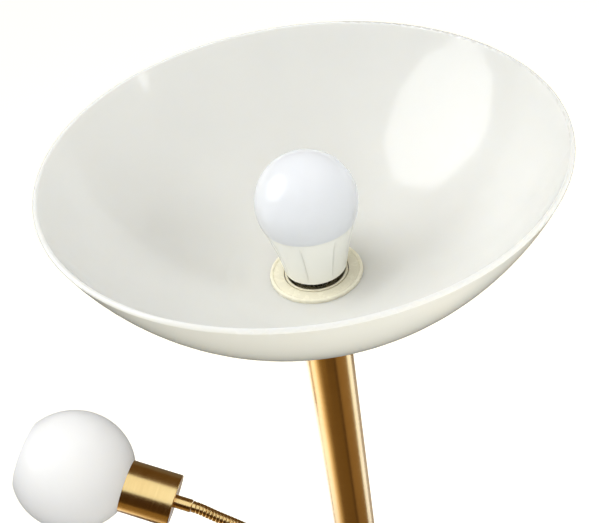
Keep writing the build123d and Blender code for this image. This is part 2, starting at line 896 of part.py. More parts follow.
def along_neck(stations):
    """Ruled solid through circles, each given as its distance along the neck and its radius."""
    return loft([neck_plane(place) * Circle(radius) for place, radius in stations], ruled=True)


def ribbed_skin(start, end):
    """Outside of one link: a row of round ribs between two root circles."""
    rib = (end - start) / neck_ribs_per_link
    stations = [(start, neck_root_radius)]
    for index in range(neck_ribs_per_link):
        foot = start + index * rib
        stations.append((foot + rib * rib_foot_share, neck_root_radius))
        stations.append((foot + rib * rib_crest_share, neck_crest_radius))
        stations.append((foot + rib * (1 - rib_crest_share), neck_crest_radius))
        stations.append((foot + rib * (1 - rib_foot_share), neck_root_radius))
    stations.append((end, neck_root_radius))
    return along_neck(stations)


def neck_ball(place):
    """Ball and stem that stand in the socket at this joint."""
    stem = disc(neck_ball_stem_radius, 0, neck_shoulder + neck_root_radius)
    return neck_plane(place) * (Sphere(neck_ball_radius) + stem)


def neck_link(index):
    """One link: a ball at its lower end, a ribbed sleeve, and a socket at its upper end."""
    low = index * neck_link_pitch
    high = low + neck_link_pitch
    skin = ribbed_skin(low + neck_shoulder, high + neck_socket_lip)
    first = low - neck_ball_radius - cut_over
    last = high + neck_socket_lip + cut_over
    step = (last - first) / (neck_bore_section_count - 1)
    bore = along_neck([(first + step * n, neck_bore_radius) for n in range(neck_bore_section_count)])
    socket = neck_plane(high) * Sphere(neck_ball_radius + neck_ball_clearance)
    return skin + neck_ball(low) - bore - socket


# ---------------------------------------------------------------- reading head
# These are drawn with their axis on Z and the cup's mouth at z = 0, then laid on the head's plane.
def head_ferrule():
    """Smooth end fitting of the neck, with the last ball behind and a threaded stub in front."""
    back = -reading_cup_length - ferrule_length
    sleeve = disc(ferrule_radius, back, -reading_cup_length)
    stub = disc(nipple_radius, -reading_cup_length, -reading_cup_length + ferrule_stub)
    joint = back - neck_shoulder
    ball = Pos(0, 0, joint) * Sphere(neck_ball_radius)
    stem = disc(neck_ball_stem_radius, joint, -reading_cup_length)
    bore = disc(neck_bore_radius, joint - neck_ball_radius - cut_over, 0)
    rim = sleeve.edges().group_by(Axis.Z)[0]
    return head_plane * (chamfer(rim, ferrule_edge) + stub + ball + stem - bore)


def reading_holder():
    """Plastic holder for the small bulb, with the flange that closes the cup."""
    foot = -reading_cup_length + cup_floor + cup_nut_height + holder_nut_gap
    top = reading_holder_proud
    well = reading_holder_radius - reading_holder_wall
    floor = top - reading_holder_depth
    flange = cup_radius - cup_wall - slip_clearance
    body = lathed(
        (0, foot),
        (reading_holder_radius - reading_holder_chamfer, foot),
        (reading_holder_radius, foot + reading_holder_chamfer),
        (reading_holder_radius, -reading_holder_flange),
        (flange, -reading_holder_flange),
        (flange, 0),
        (reading_holder_radius, 0),
        (reading_holder_radius, top),
        (well, top),
        (well, floor),
        (0, floor),
    )
    hole_end = -reading_cup_length + ferrule_stub + nipple_end_gap
    return body - disc(nipple_radius + thread_clearance, foot - cut_over, hole_end)


def reading_floor():
    """Level of the reading holder's floor."""
    return reading_holder_proud - reading_holder_depth


def reading_screw_shell():
    """Shell for the small bulb's cap."""
    top = reading_holder_proud - reading_shell_recess
    return screw_shell(reading_shell_radius, shell_flange, reading_floor(), top)


def reading_tip():
    """Level of the small bulb's tip."""
    return reading_floor() + reading_tip_height


def reading_contact():
    """Contact under the small bulb."""
    return centre_contact(reading_floor(), reading_tip() - running_clearance)


def reading_ring():
    """Threaded ring that holds the globe on its holder."""
    bottom = globe_wall
    collar = ring(
        reading_ring_radius, reading_holder_radius + slip_clearance, bottom, bottom + reading_ring_height
    )
    return fillet(collar.edges().group_by(Axis.Z)[-1].sort_by(SortBy.LENGTH)[-1], reading_ring_edge)


def globe_arc(inset, low, high):
    """Elliptical edge of the globe's section, this far inside its skin, between two angles."""
    return EllipticalCenterArc(
        (0, globe_centre),
        globe_radius - inset,
        globe_half_length - inset,
        start_angle=degrees(low),
        arc_size=degrees(high - low),
    )


def reading_globe():
    """Blown glass globe, open at its far end, with a flat drilled seat on the cup."""
    mouth = acos(globe_mouth_radius / globe_radius)
    outside = globe_arc(0, asin(-globe_centre / globe_half_length), mouth)
    inner_foot = asin((globe_wall - globe_centre) / (globe_half_length - globe_wall))
    inside = globe_arc(globe_wall, inner_foot, mouth)
    lip = globe_wall / 2
    edge = ((outside @ 1) + (inside @ 1)) / 2
    tip = edge + Vector(-sin(mouth), cos(mouth)) * lip
    rim = ThreePointArc(outside @ 1, tip, inside @ 1)
    hole = reading_holder_radius + slip_clearance
    seat = Polyline(inside @ 0, (hole, globe_wall), (hole, 0), outside @ 0)
    return turned(outside, rim, inside, seat)


def reading_bulb_centre():
    """Level of the small diffuser's centre."""
    return reading_tip() + reading_bulb_length - reading_bulb_radius


def reading_joint():
    """Level of the line between the small diffuser and its housing."""
    return reading_bulb_centre() - sqrt(reading_bulb_radius**2 - reading_joint_radius**2)


def reading_bulb_diffuser():
    """Round diffuser of the small bulb, a thin shell open below."""
    joint = reading_joint()
    centre = Pos(0, 0, reading_bulb_centre())
    shell = centre * (Sphere(reading_bulb_radius) - Sphere(reading_bulb_radius - bulb_skin))
    return shell - disc(reading_bulb_radius + cut_over, joint - reading_bulb_radius, joint)


def reading_bulb_housing():
    """Tapered plastic body of the small bulb, hollow inside."""
    top = reading_joint()
    bottom = top - reading_housing_length
    return lathed(
        (reading_cap_radius - bulb_skin, bottom),
        (reading_housing_bottom_radius, bottom),
        (reading_joint_radius, top),
        (reading_joint_radius - reading_housing_wall, top),
        (reading_housing_bottom_radius - bulb_skin, bottom + bulb_skin),
        (reading_cap_radius - bulb_skin, bottom + bulb_skin),
    )


def reading_bulb_cap():
    """Screw cap of the small bulb."""
    top = reading_joint() - reading_housing_length
    return screw_cap(reading_cap_radius, reading_cap_straight, top, reading_tip_radius, reading_tip())


# ---------------------------------------------------------------- every node
main_level, reading_level = switch_levels()
save("base_pad", base_pad())
save("base_weight", base_weight())
save("base_cover", base_cover())
save("cord_bushing", cord_bushing())
save("base_nipple", base_nipple())
save("base_washer", base_washer())
save("base_nut", base_nut())
save("pole_flange", pole_flange())
save("pole_lower", pole_lower())
save("pole_coupler", pole_coupler())
save("pole_middle", pole_middle())
save("pole_upper", pole_upper())

save("housing_shell", housing_shell())
save("housing_bottom_cap", housing_cap(-1))
save("housing_top_cap", housing_cap(1))
save("housing_grub_screws", *grub_screws())
save("arm_elbow", arm_elbow())
save("elbow_nut", elbow_nut())
save("switch_bodies", *[switch_body(level) for level in switch_levels()])
save("switch_back_plates", *[switch_back_plate(level) for level in switch_levels()])
save("switch_collars", *[switch_collar(level) for level in switch_levels()])
save("switch_nuts", *[switch_nut(level) for level in switch_levels()])
save("main_switch_rotor", switch_rotor(main_level))
save("main_switch_knob", switch_knob(main_level))
save("reading_switch_rotor", switch_rotor(reading_level))
save("reading_switch_knob", switch_knob(reading_level))

save("main_cup", Pos(0, 0, underside) * holder_cup(main_cup_length))
save("main_cup_nut", Pos(0, 0, underside) * cup_nut(main_cup_length))
save("top_nipple", top_nipple())
save("main_holder", main_holder())
save("main_screw_shell", main_screw_shell())
save("main_contact", main_contact())
save("main_lead", main_lead())
save("bowl_shade", bowl_shade())
save("shade_ring", shade_ring())
save("bulb_diffuser", bulb_diffuser())
save("bulb_housing", bulb_housing())
save("bulb_cap", bulb_cap())

for link in range(neck_link_count):
    save(f"neck_link_{link + 1:02d}", neck_link(link))
save("head_ferrule", head_ferrule())
save("reading_cup", head_plane * holder_cup(reading_cup_length))
save("reading_cup_nut", head_plane * cup_nut(reading_cup_length))
save("reading_holder", head_plane * reading_holder())
save("reading_screw_shell", head_plane * reading_screw_shell())
save("reading_contact", head_plane * reading_contact())
save("reading_ring", head_plane * reading_ring())
save("reading_globe", head_plane * reading_globe())
save("reading_bulb_diffuser", head_plane * reading_bulb_diffuser())
save("reading_bulb_housing", head_plane * reading_bulb_housing())
save("reading_bulb_cap", head_plane * reading_bulb_cap())
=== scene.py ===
import json
import math

import bmesh
import bpy
from mathutils import Matrix, Vector


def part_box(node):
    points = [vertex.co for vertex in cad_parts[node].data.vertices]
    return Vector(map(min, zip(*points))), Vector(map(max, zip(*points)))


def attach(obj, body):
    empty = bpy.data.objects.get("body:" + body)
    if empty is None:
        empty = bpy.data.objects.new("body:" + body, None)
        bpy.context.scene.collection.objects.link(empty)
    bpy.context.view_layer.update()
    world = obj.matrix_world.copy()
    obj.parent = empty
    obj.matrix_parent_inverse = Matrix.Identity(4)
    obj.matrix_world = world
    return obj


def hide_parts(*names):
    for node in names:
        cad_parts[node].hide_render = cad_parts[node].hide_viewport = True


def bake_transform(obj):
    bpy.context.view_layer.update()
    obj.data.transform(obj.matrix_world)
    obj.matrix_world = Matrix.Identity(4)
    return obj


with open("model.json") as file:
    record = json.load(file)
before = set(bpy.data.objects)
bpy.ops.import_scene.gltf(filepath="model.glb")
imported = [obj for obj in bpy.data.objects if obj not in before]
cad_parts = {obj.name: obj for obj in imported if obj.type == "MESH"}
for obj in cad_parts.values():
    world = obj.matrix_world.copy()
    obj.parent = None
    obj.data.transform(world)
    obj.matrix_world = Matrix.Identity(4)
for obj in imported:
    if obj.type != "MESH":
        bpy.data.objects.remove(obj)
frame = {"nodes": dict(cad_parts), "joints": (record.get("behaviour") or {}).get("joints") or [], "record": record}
nodes = frame["nodes"]
joints = {joint["name"]: joint for joint in frame["joints"]}
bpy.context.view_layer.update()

# The pole stands on Z over the floor at z = 0 and the neck leans toward -X. Lengths are metres.
# Levels and radii of CAD pieces are read from the frame, so that what is made here fits them.

# ---------------------------------------------------------------- sizes
UPRIGHT = Matrix.Identity(4)
HOLDER_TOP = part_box("main_holder")[1].z
LAST_JOINT = Vector(joints["neck_sway_6"]["pos_m"])
SLOTS = {part["node"]: part["material_slot"] for part in frame["record"]["subparts"]}

# Neck: round wire wound as a screw, in one piece for each of its joints.
NECK_PIECES = 12
NECK_CREST_RADIUS = 0.0046
NECK_GROOVE_RADIUS = 0.0042
NECK_PITCH = 0.0030
NECK_CREST_SHARE = 0.72  # share of the pitch that the round of the wire takes up
NECK_STEPS = 12  # rings in one pitch
NECK_SIDES = 36
NECK_OVER_ELBOW = 0.0001  # gap between the elbow's mouth and the first ring
NECK_PAST_JOINT = 0.0018  # how far the skin runs on past the last joint
NECK_BEND_REACH = 0.42  # share of a link, each side of its joint, at which the points low and high are taken
NECK_FROM_HEAD = 10  # the piece with a branch of its own in add_neck, built like the others

# Rolled threads of the screw shell and of the large and the small bulb cap.
LARGE_PITCH = 0.0036
SMALL_PITCH = 0.0028
SHELL_WALL = 0.0006
SHELL_DEPTH = 0.0005
LARGE_CAP_DEPTH = 0.0004
SMALL_CAP_DEPTH = 0.0003

# Ribs on the large bulb's housing. Across a rib, places count in half widths from its middle.
RIB_COUNT = 8
RIB_FIRST = math.radians(-90)
RIB_HALF_WIDTH = 0.00045
RIB_CREST = 0.5
RIB_FOOT = 1.6
RIB_PROUD = 0.00035
RIB_SUNK = -0.00015
RIB_START, RIB_END = 0.10, 0.93  # shares of the housing's height
RIB_STEPS = 24
RIB_FADE_STEPS = 4

# ---------------------------------------------------------------- camera and studio values
IMAGE_WIDTH = 600
FOCAL_PIXELS = 950.0
SENSOR_WIDTH = 36.0
CLIP_NEAR, CLIP_FAR = 0.02, 60.0
CAMERA_FROM_HOLDER = Vector((0.1266, -0.4219, 0.3711))
CAMERA_AHEAD = Vector((-0.2368, 0.7346, -0.6359))
CAMERA_UP = Vector((-0.0411, 0.6463, 0.7620))

WHITE = (1.0, 1.0, 1.0)
COOL = (0.60, 0.75, 1.0)  # brass turns it to a pale cream
FLOOR_HALF = 12.0
FLOOR_GLOW = (1.0, 0.93, 0.70)
SURROUNDINGS_SEEN = WHITE
SURROUNDINGS_LIT = (0.50, 0.50, 0.50)
SURROUNDINGS_REFLECTED = (0.12, 0.078, 0.032)

BOWL_MIDDLE = Vector((0, 0, HOLDER_TOP + 0.05))
BULB_MIDDLE = Vector((0, 0, HOLDER_TOP + 0.045))
LEFT = Vector((-0.82, -0.13, 0.56)).normalized() * 1.3
RIGHT = Vector((0.955, -0.045, 0.29)).normalized() * 1.5

# Softbox faces that gloss shows: name, place from the bowl's middle, radius and strength.
SOFTBOXES = (
    ("softbox_left", LEFT, 0.62, 3.0),
    ("softbox_right", RIGHT, 0.06, 5.0),
)

# Soft lights: name, place from the bowl's middle, diameter, watts and tint.
BOWL_LIGHTS = (
    ("key_left", LEFT, 1.1, 8.0, WHITE),
    ("key_right", RIGHT, 0.9, 9.0, WHITE),
    ("top", (-0.3, -0.15, 1.6), 1.2, 13.0, WHITE),
    ("fill_high", (0.2, -1.8, 1.5), 1.4, 7.0, WHITE),
    ("fill_front", (1.7, -1.5, -0.2), 1.4, 15.0, (1.0, 0.97, 0.88)),
)
FILL_LOW_PLACE = Vector((-0.9, -2.2, 0.9))
FILL_LOW_AIM = Vector((0, 0, 0.6))
FILL_LOW_TINT = (1.0, 0.90, 0.72)

# Upright cards round the lamp: name, first and last compass angle, lowest and highest level,
# strength and tint. Their order makes the bands along the pole, the neck and the cup.
CARD_RING = 0.95
CARD_STEP = 6  # degrees that one flat of a card spans
ARC_CARDS = (
    ("card_left", 124, 208, 0.01, 1.5, 2.3, (0.68, 0.78, 0.96)),
    ("card_left_fade_1", 208, 217, 0.01, 1.5, 1.30, (1.0, 0.98, 0.92)),
    ("card_left_fade_2", 217, 225, 0.01, 1.5, 0.95, (1.0, 0.90, 0.70)),
    ("card_left_fade_3", 225, 232, 0.01, 1.5, 0.60, (1.0, 0.84, 0.55)),
    ("card_left_fade_4", 232, 239, 0.01, 1.5, 0.36, (1.0, 0.78, 0.45)),
    ("card_front_dim", 239, 304, 0.01, 0.65, 0.17, (1.0, 0.68, 0.28)),
    ("card_front_gold", 226, 266, 0.65, 1.16, 0.26, (1.0, 0.70, 0.26)),
    ("card_front_dark", 235, 290, 1.16, 2.10, 0.05, (1.0, 0.5, 0.1)),
    ("card_dark_line", -56, -45, 0.01, 1.5, 0.06, (1.0, 0.6, 0.3)),
    ("card_right_dim", -45, 12, 0.01, 1.5, 0.29, (1.0, 0.72, 0.36)),
    ("card_right", 16, 47, 0.01, 1.5, 2.3, COOL),
    ("card_right_grey", 52, 124, 0.01, 0.65, 0.46, (1.0, 0.96, 0.90)),
    ("card_back_grey", 90, 124, 0.65, 1.6, 0.16, (1.0, 0.92, 0.80)),
)

# Level cards: name, two corners, level, strength and tint.
FLAT_CARDS = (
    ("card_over", (-0.42, -0.30), (0.10, 0.07), 1.66, 1.9, COOL),
    ("card_floor", (-0.66, -0.66), (-0.02, 0.66), 0.004, 0.22, (1.0, 0.82, 0.52)),
)

# ---------------------------------------------------------------- material values
BRASS = (0.90, 0.56, 0.20)
BRASS_DEEP = (0.78, 0.45, 0.14)
BRASS_ROUGHNESS = 0.22
BRASS_ROUGHNESS_SPAN = (0.20, 0.27)
BRASS_GRAIN = 2400.0  # fine rings in a metre
NECK_GRAIN = 900.0
GRAIN_DRIFT = 22.0  # slow change of the grain along its rings
RING_SHARE, CLOUD_SHARE = 0.6, 0.4  # parts of the brass's change of tone
METAL_SPREAD = 0.72  # darkest tone of a plain metal, as a share of its colour
METAL_ROUGHNESS_SPAN = (0.8, 1.35)  # shares of the roughness given
PLASTIC_ROUGHNESS_SPAN = (0.9, 1.12)
MILK_RADIUS = (1.0, 0.9, 0.75)
NOISE_LOW, NOISE_HIGH = 0.3, 0.7  # the part of a noise's range that is used

# Marks in a metre: clouds in brass, flow marks and fine unevenness in plastic, specks in metal.
CLOUD_SCALE = 30.0
FLOW_SCALE = 24.0
FINE_SCALE = 300.0
SPECK_SCALE = 900.0
CAST_SPECK_SCALE = 320.0


# ---------------------------------------------------------------- objects
def new_object(name, data):
    """Object for a mesh, a light or a camera, put in the scene."""
    made = bpy.data.objects.new(name, data)
    bpy.context.scene.collection.objects.link(made)
    return made


def new_sheet(name, points, faces):
    """Object with a plain mesh of given points and faces."""
    mesh = bpy.data.meshes.new(name)
    mesh.from_pydata(points, [], faces)
    return new_object(name, mesh)


def add_camera():
    """Camera at the photograph's place, aim and roll."""
    data = bpy.data.cameras.new("camera")
    data.sensor_width = SENSOR_WIDTH
    data.lens = FOCAL_PIXELS / IMAGE_WIDTH * SENSOR_WIDTH
    data.clip_start, data.clip_end = CLIP_NEAR, CLIP_FAR
    camera = new_object("camera", data)
    ahead = CAMERA_AHEAD.normalized()
    right = ahead.cross(CAMERA_UP).normalized()
    up = right.cross(ahead)
    turn = Matrix((right, up, -ahead)).transposed().to_4x4()
    place = Vector((0, 0, HOLDER_TOP)) + CAMERA_FROM_HOLDER
    camera.matrix_world = Matrix.Translation(place) @ turn
    bpy.context.scene.camera = camera


# ---------------------------------------------------------------- shader nodes
def link(tree, source, target):
    """Joins one node's output to another's input."""
    tree.links.new(source, target)


def empty_tree(owner):
    """The node tree of a material or world, with nothing in it."""
    owner.use_nodes = True
    owner.node_tree.nodes.clear()
    return owner.node_tree


def new_material(name, colour, roughness, metallic=0.0):
    """A material with one main shader; returns it, its node tree and the shader."""
    material = bpy.data.materials.new(name)
    material.use_nodes = True
    tree = material.node_tree
    shader = tree.nodes["Principled BSDF"]
    shader.inputs["Base Color"].default_value = (*colour, 1)
    shader.inputs["Roughness"].default_value = roughness
    shader.inputs["Metallic"].default_value = metallic
    return material, tree, shader


def object_place(tree, origin=(0, 0, 0), axis=(0, 0, 1)):
    """Coordinates in the piece's own frame, turned so that axis lies on Z through origin."""
    coordinates = tree.nodes.new("ShaderNodeTexCoord")
    mapping = tree.nodes.new("ShaderNodeMapping")
    mapping.vector_type = "TEXTURE"
    mapping.inputs["Location"].default_value = origin
    mapping.inputs["Rotation"].default_value = Vector(axis).to_track_quat("Z", "Y").to_euler()
    link(tree, coordinates.outputs["Object"], mapping.inputs["Vector"])
    return mapping.outputs["Vector"]


def math_node(tree, operation, first, second=None):
    """One arithmetic step on values or outputs."""
    node = tree.nodes.new("ShaderNodeMath")
    node.operation = operation
    for slot, value in enumerate((first, second)):
        if value is None:
            continue
        if isinstance(value, (int, float)):
            node.inputs[slot].default_value = value
        else:
            link(tree, value, node.inputs[slot])
    return node.outputs[0]


def noise_node(tree, vector, scale, detail=2.0):
    """Noise value over a vector."""
    node = tree.nodes.new("ShaderNodeTexNoise")
    node.inputs["Scale"].default_value = scale
    node.inputs["Detail"].default_value = detail
    link(tree, vector, node.inputs["Vector"])
    return node.outputs["Fac"]


def span(tree, noise, low, high):
    """Stretches the middle of a noise's range onto a new range."""
    node = tree.nodes.new("ShaderNodeMapRange")
    link(tree, noise, node.inputs["Value"])
    node.inputs["From Min"].default_value = NOISE_LOW
    node.inputs["From Max"].default_value = NOISE_HIGH
    node.inputs["To Min"].default_value = low
    node.inputs["To Max"].default_value = high
    return node.outputs["Result"]


def two_tone(tree, noise, first, second):
    """Colour between two ends by a noise."""
    node = tree.nodes.new("ShaderNodeMix")
    node.data_type = "RGBA"
    link(tree, span(tree, noise, 0, 1), node.inputs["Factor"])
    node.inputs["A"].default_value = (*first, 1)
    node.inputs["B"].default_value = (*second, 1)
    return node.outputs["Result"]


def bump(tree, shader, height, strength, distance):
    """Adds relief to a shader from a height."""
    node = tree.nodes.new("ShaderNodeBump")
    node.inputs["Strength"].default_value = strength
    node.inputs["Distance"].default_value = distance
    link(tree, height, node.inputs["Height"])
    link(tree, node.outputs["Normal"], shader.inputs["Normal"])


def turned_grain(tree, place, per_metre):
    """Noise in fine rings about Z, as a lathe or a polishing belt leaves on a turned piece."""
    parts = tree.nodes.new("ShaderNodeSeparateXYZ")
    link(tree, place, parts.inputs[0])
    x, y, z = parts.outputs
    squares = [math_node(tree, "MULTIPLY", side, side) for side in (x, y)]
    radius = math_node(tree, "SQRT", math_node(tree, "ADD", *squares))
    across = tree.nodes.new("ShaderNodeCombineXYZ")
    for slot, ringed, along in ((0, radius, x), (1, z, y)):
        fine = math_node(tree, "MULTIPLY", ringed, per_metre)
        slow = math_node(tree, "MULTIPLY", along, GRAIN_DRIFT)
        link(tree, math_node(tree, "ADD", fine, slow), across.inputs[slot])
    return noise_node(tree, across.outputs[0], 1.0, detail=3.0)


# ---------------------------------------------------------------- materials
def brass(name, origin=(0, 0, 0), axis=(0, 0, 1), grain=BRASS_GRAIN):
    """Satin brushed brass under clear lacquer, its grain running round the axis."""
    material, tree, shader = new_material(name, BRASS, BRASS_ROUGHNESS, 1.0)
    place = object_place(tree, origin, axis)
    rings = turned_grain(tree, place, grain)
    cloud = noise_node(tree, place, CLOUD_SCALE)
    ring_part = math_node(tree, "MULTIPLY", rings, RING_SHARE)
    cloud_part = math_node(tree, "MULTIPLY", cloud, CLOUD_SHARE)
    tone = math_node(tree, "ADD", ring_part, cloud_part)
    link(tree, two_tone(tree, tone, BRASS_DEEP, BRASS), shader.inputs["Base Color"])
    link(tree, span(tree, rings, *BRASS_ROUGHNESS_SPAN), shader.inputs["Roughness"])
    shader.inputs["Anisotropic"].default_value = 0.3
    shader.inputs["Coat Weight"].default_value = 0.20
    shader.inputs["Coat Roughness"].default_value = 0.10
    bump(tree, shader, rings, strength=0.12, distance=0.00002)
    return material


def plain_metal(name, colour, roughness, specks=SPECK_SCALE):
    """Plated or cast metal with a fine uneven surface."""
    material, tree, shader = new_material(name, colour, roughness, 1.0)
    grain = noise_node(tree, object_place(tree), specks, detail=3.0)
    darker = tuple(part * METAL_SPREAD for part in colour)
    low, high = (roughness * share for share in METAL_ROUGHNESS_SPAN)
    link(tree, two_tone(tree, grain, darker, colour), shader.inputs["Base Color"])
    link(tree, span(tree, grain, low, high), shader.inputs["Roughness"])
    bump(tree, shader, grain, strength=0.12, distance=0.00008)
    return material


def moulded(
    name, colour, roughness, ripple=0.0002, spread=0.94, milk=0.0, relief=0.2, depth=0.006
):
    """Moulded plastic with faint flow marks, milky to a depth where milk is above 0."""
    material, tree, shader = new_material(name, colour, roughness)
    place = object_place(tree)
    flow = noise_node(tree, place, FLOW_SCALE)
    darker = tuple(part * spread for part in colour)
    link(tree, two_tone(tree, flow, darker, colour), shader.inputs["Base Color"])
    fine = noise_node(tree, place, FINE_SCALE)
    low, high = (roughness * share for share in PLASTIC_ROUGHNESS_SPAN)
    link(tree, span(tree, fine, low, high), shader.inputs["Roughness"])
    bump(tree, shader, flow, relief, ripple)
    if milk:
        shader.inputs["Subsurface Weight"].default_value = milk
        shader.inputs["Subsurface Scale"].default_value = depth
        shader.inputs["Subsurface Radius"].default_value = MILK_RADIUS
    return material


def head_direction():
    """Direction in which the reading head points, from the last joint to the cup's middle."""
    low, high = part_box("reading_cup")
    return ((low + high) / 2 - LAST_JOINT).normalized()


def knob_brass(name):
    """Brass with its grain round the axis of a piece that faces the front."""
    low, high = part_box(name)
    return brass("satin_brass_" + name, (low + high) / 2, (0, -1, 0))


def dress_cad():
    """Gives every CAD node its material; returns the materials by slot."""
    satin = brass("satin_brass")
    head_brass = brass("satin_brass_head", LAST_JOINT, head_direction())
    looks = {
        "satin_brass": satin,
        "cream_plastic": moulded(
            "ivory_plastic", (0.99, 0.93, 0.72), 0.26, spread=0.985, milk=0.2
        ),
        "acrylic": moulded(
            "milky_acrylic", (0.675, 0.685, 0.67), 0.11,
            ripple=0.0004, spread=0.985, milk=0.6, relief=0.1,
        ),
        "opal_glass": moulded(
            "opal_glass", (0.73, 0.73, 0.725), 0.34, ripple=0.0001, spread=0.99, milk=0.5
        ),
        "diffuser": moulded(
            "bulb_diffuser_white", (0.93, 0.935, 0.93), 0.05,
            ripple=0.0001, spread=0.99, milk=0.5, relief=0.05, depth=0.010,
        ),
        "bulb_body": moulded(
            "bulb_body_cream", (0.95, 0.94, 0.85), 0.22,
            ripple=0.0001, spread=0.985, milk=0.2, relief=0.05,
        ),
        "nickel": plain_metal("nickel_plate", (0.62, 0.58, 0.50), 0.24),
        "zinc_steel": plain_metal("zinc_steel", (0.60, 0.61, 0.62), 0.32),
        "cast_iron": plain_metal("cast_iron", (0.09, 0.09, 0.10), 0.7, CAST_SPECK_SCALE),
        "foam": moulded("black_foam", (0.03, 0.03, 0.03), 0.9, ripple=0.0006, spread=0.6),
        "black_plastic": moulded("black_plastic", (0.03, 0.03, 0.03), 0.42, spread=0.8),
        "lead_sheath": moulded("lead_sheath", (0.82, 0.80, 0.74), 0.5, spread=0.9),
    }
    head = frame["record"]["behaviour"]["bodies"]["reading_head"]
    for name, node in nodes.items():
        chosen = looks[SLOTS[name]]
        if chosen is satin and name in head:
            chosen = head_brass
        elif chosen is satin and ("knob" in name or name.startswith("switch_")):
            chosen = knob_brass(name)
        node.data.materials.clear()
        node.data.materials.append(chosen)
    return looks


# ---------------------------------------------------------------- studio
def reflection_card(name, points, faces, strength, tint=WHITE):
    """Glowing sheet that only mirror-like surfaces see; it lights and shades nothing else."""
    card = new_sheet(name, points, faces)
    glow = bpy.data.materials.new(name)
    tree = empty_tree(glow)
    emission = tree.nodes.new("ShaderNodeEmission")
    emission.inputs["Color"].default_value = (*tint, 1)
    emission.inputs["Strength"].default_value = strength
    output = tree.nodes.new("ShaderNodeOutputMaterial")
    link(tree, emission.outputs[0], output.inputs["Surface"])
    card.data.materials.append(glow)
    card.visible_camera = False
    card.visible_diffuse = False
    card.visible_transmission = False
    card.visible_volume_scatter = False
    card.visible_shadow = False
    return card


def arc_card(name, first, last, low, high, strength, tint):
    """Upright curved reflection card round the lamp between two compass angles in degrees."""
    count = max(2, round((last - first) / CARD_STEP))
    angles = [math.radians(first + (last - first) * n / count) for n in range(count + 1)]
    line = [(CARD_RING * math.cos(angle), CARD_RING * math.sin(angle)) for angle in angles]
    points = [(x, y, z) for x, y in line for z in (low, high)]
    faces = [(2 * n, 2 * n + 2, 2 * n + 3, 2 * n + 1) for n in range(count)]
    return reflection_card(name, points, faces, strength, tint)


def level_corners(low, high, level):
    """The four corners of a level sheet, from two opposite ones."""
    return [(x, y, level) for x, y in (low, (high[0], low[1]), high, (low[0], high[1]))]


def flat_card(name, low, high, level, strength, tint):
    """Level reflection card between two corners."""
    return reflection_card(name, level_corners(low, high, level), [range(4)], strength, tint)


def octagon(name, centre, aim, radius, strength):
    """Eight-sided softbox face at centre that looks at aim, seen in gloss only."""
    turn = (aim - centre).to_track_quat("Z", "Y").to_matrix()
    angles = [math.tau * (n + 0.5) / 8 for n in range(8)]
    line = [Vector((radius * math.cos(angle), radius * math.sin(angle), 0)) for angle in angles]
    return reflection_card(name, [centre + turn @ point for point in line], [range(8)], strength)


def area_light(name, centre, aim, size, watts, tint=WHITE):
    """Round soft light at centre that faces aim and leaves no highlight of its own."""
    data = bpy.data.lights.new(name, "AREA")
    data.shape = "DISK"
    data.size = size
    data.energy = watts
    data.color = tint
    light = new_object(name, data)
    turn = (aim - centre).to_track_quat("-Z", "Y").to_matrix().to_4x4()
    light.matrix_world = Matrix.Translation(centre) @ turn
    light.visible_glossy = False
    return light


def light_only(sources, pieces):
    """Lets lights or glowing sheets reach these pieces and nothing else."""
    receivers = bpy.data.collections.new("receivers")
    for piece in pieces:
        receivers.objects.link(piece)
    for source in sources:
        source.light_linking.receiver_collection = receivers


def own_light(name, pieces, middle, offset, size, watts):
    """Soft light at an offset from the middle of some pieces, which reaches them alone."""
    light_only([area_light(name, middle + Vector(offset), middle, size, watts)], pieces)


def add_floor():
    """Wide pale floor under the lamp."""
    corners = level_corners((-FLOOR_HALF, -FLOOR_HALF), (FLOOR_HALF, FLOOR_HALF), 0)
    floor = new_sheet("floor", corners, [range(4)])
    paint, _, shader = new_material("floor_white", (0.92, 0.92, 0.92), 0.9)
    shader.inputs["Specular IOR Level"].default_value = 0.1
    shader.inputs["Emission Color"].default_value = (*FLOOR_GLOW, 1)
    shader.inputs["Emission Strength"].default_value = 0.70
    floor.data.materials.append(paint)
    floor.visible_glossy = False
    return floor


def add_world():
    """Even surroundings: one colour for the camera, one for soft light, one for reflections."""
    world = bpy.data.worlds.new("studio")
    bpy.context.scene.world = world
    tree = empty_tree(world)
    path = tree.nodes.new("ShaderNodeLightPath")
    output = tree.nodes.new("ShaderNodeOutputWorld")
    backgrounds = []
    for colour in (SURROUNDINGS_LIT, SURROUNDINGS_REFLECTED, SURROUNDINGS_SEEN):
        background = tree.nodes.new("ShaderNodeBackground")
        background.inputs["Color"].default_value = (*colour, 1)
        backgrounds.append(background.outputs[0])
    lit, reflected, seen = backgrounds
    gloss = tree.nodes.new("ShaderNodeMixShader")
    camera = tree.nodes.new("ShaderNodeMixShader")
    for mix, ray, other, chosen in (
        (gloss, "Is Glossy Ray", lit, reflected),
        (camera, "Is Camera Ray", gloss.outputs[0], seen),
    ):
        for slot, source in enumerate((path.outputs[ray], other, chosen)):
            link(tree, source, mix.inputs[slot])
    link(tree, camera.outputs[0], output.inputs["Surface"])


